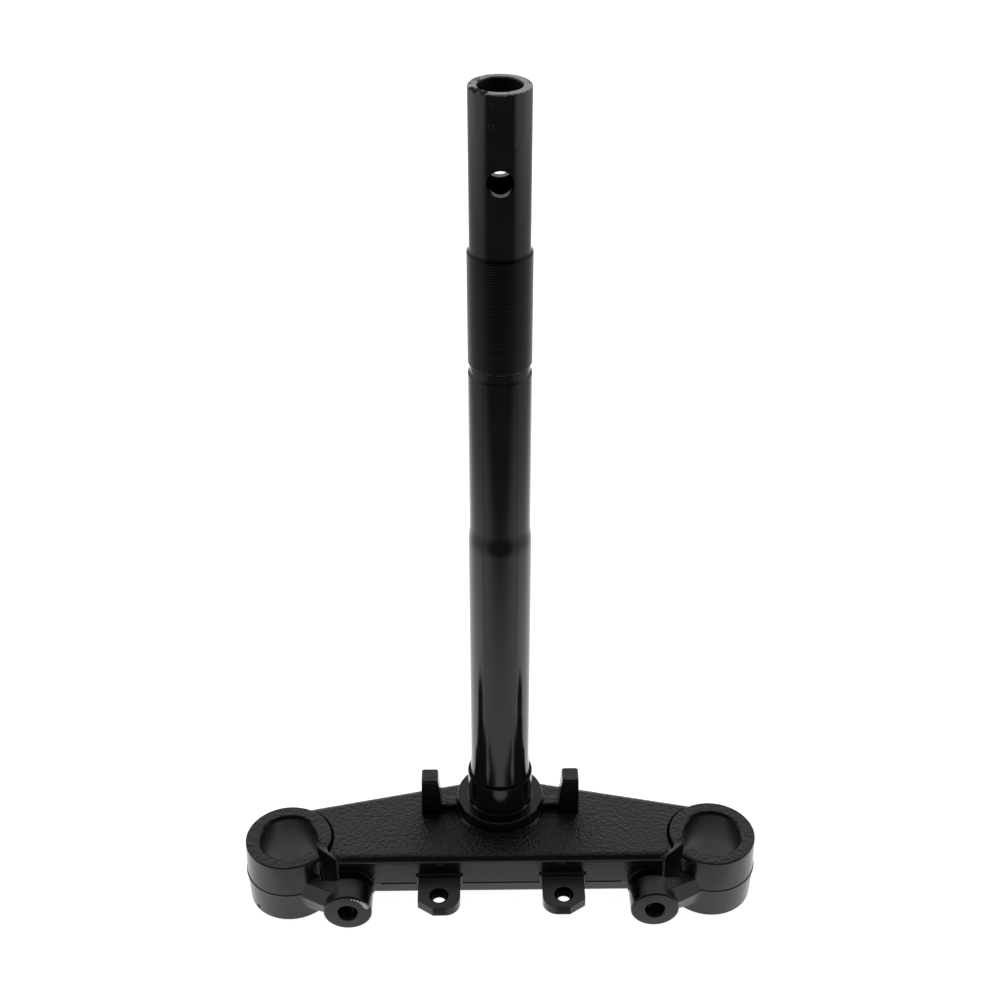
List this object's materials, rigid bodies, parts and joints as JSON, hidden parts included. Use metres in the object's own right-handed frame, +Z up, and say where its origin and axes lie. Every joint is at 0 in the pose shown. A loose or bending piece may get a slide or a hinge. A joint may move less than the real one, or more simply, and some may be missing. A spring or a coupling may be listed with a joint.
{
  "type": "lower triple clamp",
  "caption": "Black painted steering stem set in a cast lower fork yoke, with split pinch rings, steering stops and front tabs.",
  "frame": {"origin": "on the steering axis at the top of the collar, where the lower bearing sits", "axes": "+Z up the stem, -Y towards the front of the bike, +X to the right in a view of the front"},
  "size_m": [0.2376, 0.0755, 0.3811],
  "materials": {
    "stem_paint": "gloss paint",
    "yoke_paint": "gloss paint on a cast surface"
  },
  "bodies": {
    "root": {"steering_stem": "stem_paint", "lower_yoke": "yoke_paint"}
  },
  "joints": []
}
